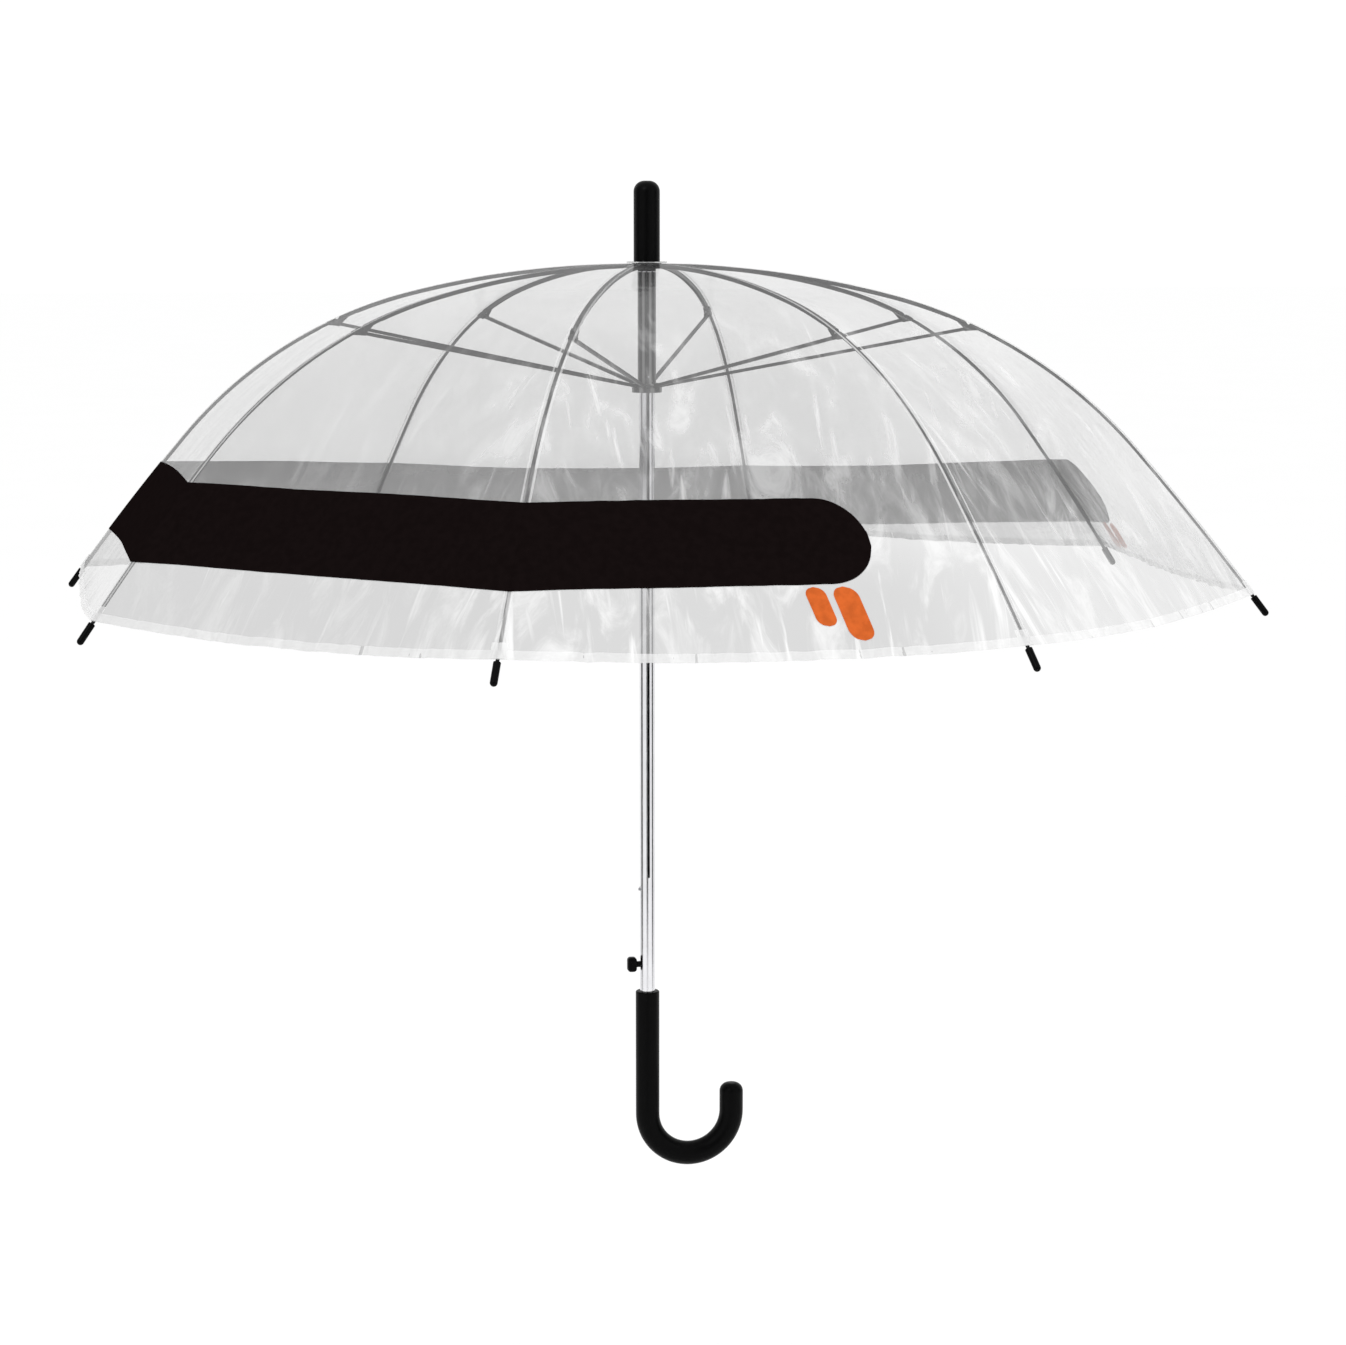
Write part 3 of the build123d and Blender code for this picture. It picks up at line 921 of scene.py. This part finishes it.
    def angle_at(self, rib: int, across: float) -> float:
        """Find the angle about the shaft of a place on the straight chord between two ribs.

        Args:
            rib: The rib's number, from 0.
            across: The place across the rib, from -1 to 1.

        Returns:
            The angle, in radians.
        """
        share = abs(across) * math.sin(HALF_GORE)
        turn = math.atan2(share * math.cos(HALF_GORE), 1.0 - share * math.sin(HALF_GORE))
        return rib_angle(rib) + Side.of(across).value * turn

    def across_at(self, rib: int, angle: float) -> float:
        """Find the place across a rib that lies at an angle about the shaft.

        Args:
            rib: The rib's number, from 0.
            angle: The angle, in radians.

        Returns:
            The place, from -1 to 1.
        """
        low, high = -1.0, 1.0
        for _ in range(self.halvings):
            middle = (low + high) / 2.0
            if self.angle_at(rib, middle) < angle:
                low = middle
            else:
                high = middle
        return (low + high) / 2.0

    def ink_band(self, rib: int) -> list[bpy.types.Object]:
        """Print the band where it crosses one rib.

        Args:
            rib: The rib's number, from 0.

        Returns:
            The printed piece, or nothing where the band doesn't reach.
        """
        start = max(rib_angle(rib) - HALF_GORE, self.band.start)
        end = min(rib_angle(rib) + HALF_GORE, self.band.end)
        if end <= start:
            return []
        first, last = self.across_at(rib, start), self.across_at(rib, end)
        reach = self.line.at(self.band.foot)[0] * math.cos(HALF_GORE)

        def spot(x: float, y: float) -> Span:
            """Find a place on the band.

            Args:
                x: From -1 to 1 along it.
                y: From -1 to 1 over its height.

            Returns:
                The place across the rib and the station.
            """
            across = first + (last - first) * (x + 1.0) / 2.0
            angle = self.angle_at(rib, across)
            top, foot = self.band.edges(angle)
            return across, (top + foot) / 2.0 + y * (foot - top) / 2.0 * self.band.rounding(angle, reach)

        return [self.patch(f"ink_band_{rib + 1}", rib, self.band_cells, spot, lambda x, y: self.ink_lift,
                           self.finishes.black_ink)]

    def ink_bars(self, rib: int) -> list[bpy.types.Object]:
        """Print the small bars beside one rib.

        Args:
            rib: The rib's number, from 0.

        Returns:
            The printed bars.
        """
        def spot(bar: InkBar, x: float, y: float) -> Span:
            """Place across the rib and station of a place on a bar."""
            away, station = bar.spot(x, y)
            return away / self.line.half_gore(station), station

        return [self.patch(bar.name, rib, self.bar_cells, partial(spot, bar), lambda x, y: self.ink_lift,
                           self.finishes.orange_ink) for bar in self.bars if bar.rib == rib + 1]

    def dress(self, piece: bpy.types.Object, rib: int, body: str, replaced: Sequence[str] = ()) -> None:
        """Make a piece of film ride and stand for its CAD node.

        Args:
            piece: The piece.
            rib: Not used.
            body: The body that it moves with.
            replaced: The CAD nodes that it stands for.
        """
        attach(piece, body)
        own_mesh(piece)
        if replaced:
            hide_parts(*replaced)

    def declare(self, low: float, high: float) -> None:
        """Work out the widths of a piece of film's flat cut; nothing is done with them.

        Args:
            low: Station of its upper edge.
            high: Station of its lower edge.
        """
        stations = [low + (high - low) * (i + 0.5) / self.cut_steps for i in range(self.cut_steps)]
        widths = [2.0 * self.line.half_gore(station, self.film_lift) for station in stations]

    def build_rib(self, rib: int) -> list[bpy.types.Object]:
        """Make all the film that moves with one rib.

        Args:
            rib: The rib's number, from 0.

        Returns:
            The pieces.
        """
        number = rib + 1
        line, finishes = self.line, self.finishes
        pocket_top = line.hem - self.pocket_length
        upper = self.patch(f"film_top_{number}", rib, self.top_cells,
                           between(lambda x: self.film_start, lambda x: line.elbow),
                           lambda x, y: 0.0, finishes.film)
        lower = self.patch(f"film_skirt_{number}", rib, self.skirt_cells,
                           between(lambda x: line.elbow, self.hem_at), lambda x, y: 0.0, finishes.film)
        hem = self.patch(f"film_hem_{number}", rib, self.hem_cells,
                         between(lambda x: self.hem_at(x) - self.hem_width, self.hem_at),
                         lambda x, y: self.weld_lift, finishes.hem)
        sides = ((Side.LEFT, "left"), (Side.RIGHT, "right"))
        # Pale weld strips on each side of the rib, which also paint its highlights.
        top_weld_highlights = [self.strip(f"weld_highlight_top_{word}_{number}", rib, (self.weld_start, line.elbow),
                                self.weld_half_width, self.top_weld_rows, finishes.weld,
                                away=side.value * self.weld_away) for side, word in sides]
        skirt_weld_highlights = [self.strip(f"weld_highlight_skirt_{word}_{number}", rib, (line.elbow, pocket_top),
                                  self.weld_half_width, self.skirt_weld_rows, finishes.weld,
                                  away=side.value * self.weld_away) for side, word in sides]
        pocket = self.strip(f"tip_pocket_{number}", rib, (pocket_top, line.hem), self.pocket_half_width,
                            self.pocket_rows, finishes.hem, bulge=self.pocket_bulge)
        prints = self.ink_band(rib) + self.ink_bars(rib)
        self.dress(upper, rib, f"rib_{number}", [f"film_upper_{number}"])
        for piece in top_weld_highlights:
            self.dress(piece, rib, f"rib_{number}")
        self.dress(lower, rib, f"rod_{number}", [f"film_lower_{number}"])
        for piece in (hem, pocket, *skirt_weld_highlights, *prints):
            self.dress(piece, rib, f"rod_{number}")
        self.declare(self.film_start, line.elbow)
        self.declare(line.elbow, line.hem + self.hem_sag * self.mean_sag)
        return [upper, lower, hem, pocket, *top_weld_highlights, *skirt_weld_highlights, *prints]

    def build(self) -> list[bpy.types.Object]:
        """Make the whole dome.

        Returns:
            Every piece of film, weld and print.
        """
        return [piece for rib in range(RIB_COUNT) for piece in self.build_rib(rib)]


@dataclass
class Frame:
    """The carried-over metal and plastic, given their finishes."""

    finishes: Finishes

    def dress(self) -> int:
        """Give every CAD node the finish of its slot.

        Returns:
            How many nodes were dressed.
        """
        slots = {part["node"]: part["material_slot"] for part in frame["record"]["subparts"]}
        for name, node in frame["nodes"].items():
            finish = self.finishes.sleeve if name == "runner" else self.finishes.by_slot[slots[name]]
            node.data.materials.clear()
            node.data.materials.append(finish)
        return len(frame["nodes"])


@dataclass(frozen=True)
class SoftBox:
    """A square soft light: its name, its place, the length of its sides and its power."""

    name: str
    at: Place
    size: float
    watts: float


@dataclass
class Stage:
    """Plain pale floor, white surroundings, soft boxes, hidden dark cards and the camera.

    A card's place is its distance to the right of the shaft and in front of it, as the camera sees them.
    """

    floor_z: float = -0.45
    floor_size: float = 40.0
    floor_tone: float = 0.97
    floor_spread: Span = (0.995, 1.0)
    sky: float = 1.03
    turn: float = math.radians(-10.5)
    cards: tuple[tuple[str, float, float], ...] = (("card_left", -2.2, 0.2), ("card_right", 2.2, 0.2),
                                                   ("card_front", 0.0, 2.4))
    card_size: Span = (1.1, 5.0)
    card_z: float = 0.4
    card_tone: float = 0.12
    lights: tuple[SoftBox, ...] = (SoftBox("key_light", (-1.4, -2.2, 2.6), 1.2, 18.0),
                                   SoftBox("fill_light", (2.4, -1.0, 1.6), 1.6, 8.0))
    lights_aim: Place = (0.0, 0.0, 0.45)
    camera_at: Place = (-0.5198, -2.8043, CROWN_Z + 0.0578)
    camera_aim: Place = (0.0216, -0.0040, CROWN_Z - 0.3439)
    lens: float = 90.456
    sensor: float = 36.0
    clip: Span = (0.05, 100.0)

    def sheet(self, name: str, size: float, material: bpy.types.Material) -> bpy.types.Object:
        """Make a flat square of the stage.

        Args:
            name: Its name.
            size: Half the length of its sides.
            material: Its material.

        Returns:
            The new square.
        """
        flat = bmesh.new()
        bmesh.ops.create_grid(flat, x_segments=1, y_segments=1, size=size)
        mesh = bpy.data.meshes.new(name)
        flat.to_mesh(mesh)
        flat.free()
        mesh.materials.append(material)
        square = bpy.data.objects.new(name, mesh)
        bpy.context.scene.collection.objects.link(square)
        return square

    def floor(self) -> None:
        """Lay the floor."""
        material, board, shader = new_material("pale_floor")
        shader.inputs["Roughness"].default_value = 0.9
        shader.inputs["Specular IOR Level"].default_value = 0.0
        place = board.node("ShaderNodeTexCoord")
        mottle = board.node("ShaderNodeTexNoise", Scale=2.0, Detail=2.0)
        board.wire(place.outputs["Object"], mottle.inputs["Vector"])
        mottling = board.ramp(mottle.outputs["Fac"], *NOISE_SPAN, *self.floor_spread)
        board.wire(board.scaled(grey(self.floor_tone)[:3], mottling), shader.inputs["Base Color"])
        self.sheet("floor", self.floor_size, material).location.z = self.floor_z

    def card(self, name: str, centre: Vector) -> None:
        """Stand a dark card where only reflections see it.

        Args:
            name: The card's name.
            centre: Its middle; it faces the shaft's axis.
        """
        material, _, shader = new_material(name)
        shader.inputs["Base Color"].default_value = grey(self.card_tone)
        shader.inputs["Specular IOR Level"].default_value = 0.0
        card = self.sheet(name, 0.5, material)
        card.location = centre
        card.rotation_euler = Vector((-centre.x, -centre.y, 0.0)).to_track_quat("Z", "Y").to_euler()
        card.scale = (*self.card_size, 1.0)
        card.visible_camera = False
        card.visible_diffuse = False
        card.visible_shadow = False
        card.visible_transmission = False

    def soft_box(self, box: SoftBox) -> None:
        """Hang a square soft light that faces the umbrella.

        Args:
            box: The light.
        """
        light = bpy.data.lights.new(box.name, "AREA")
        light.size, light.energy = box.size, box.watts
        lamp = bpy.data.objects.new(box.name, light)
        lamp.location = box.at
        lamp.rotation_euler = (Vector(self.lights_aim) - Vector(box.at)).to_track_quat("-Z", "Y").to_euler()
        bpy.context.scene.collection.objects.link(lamp)

    def surroundings(self) -> None:
        """Make the white world and set how its light is shown."""
        world = bpy.data.worlds.new("studio")
        world.use_nodes = True
        ground = next(n for n in world.node_tree.nodes if n.type == "BACKGROUND")
        ground.inputs["Color"].default_value = grey(1.0)
        ground.inputs["Strength"].default_value = self.sky
        bpy.context.scene.world = world
        bpy.context.scene.view_settings.view_transform = "Standard"

    def camera(self) -> None:
        """Point the camera."""
        lens = bpy.data.cameras.new("camera")
        lens.lens, lens.sensor_width = self.lens, self.sensor
        lens.clip_start, lens.clip_end = self.clip
        camera = bpy.data.objects.new("camera", lens)
        camera.location = self.camera_at
        aim = Vector(self.camera_aim) - Vector(self.camera_at)
        camera.rotation_euler = aim.to_track_quat("-Z", "Y").to_euler()
        bpy.context.scene.collection.objects.link(camera)
        bpy.context.scene.camera = camera

    def build(self) -> None:
        """Make the whole stage."""
        self.floor()
        self.surroundings()
        for name, sideways, ahead in self.cards:
            place = heading(self.turn) * sideways + heading(self.turn - math.pi / 2) * ahead
            self.card(name, place + Vector((0.0, 0.0, self.card_z)))
        for box in self.lights:
            self.soft_box(box)
        self.camera()


def main() -> None:
    """Dress the frame, make the film and set the stage."""
    logging.basicConfig(level=logging.INFO, format="%(name)s: %(message)s")
    Stage().build()
    finishes = Finishes()
    LOG.info("dressed %d CAD nodes", Frame(finishes).dress())
    for piece in Canopy(RibLine(), finishes).build():
        LOG.info("made %s with %d faces", piece.name, len(piece.data.polygons))


if __name__ == "__main__":
    main()
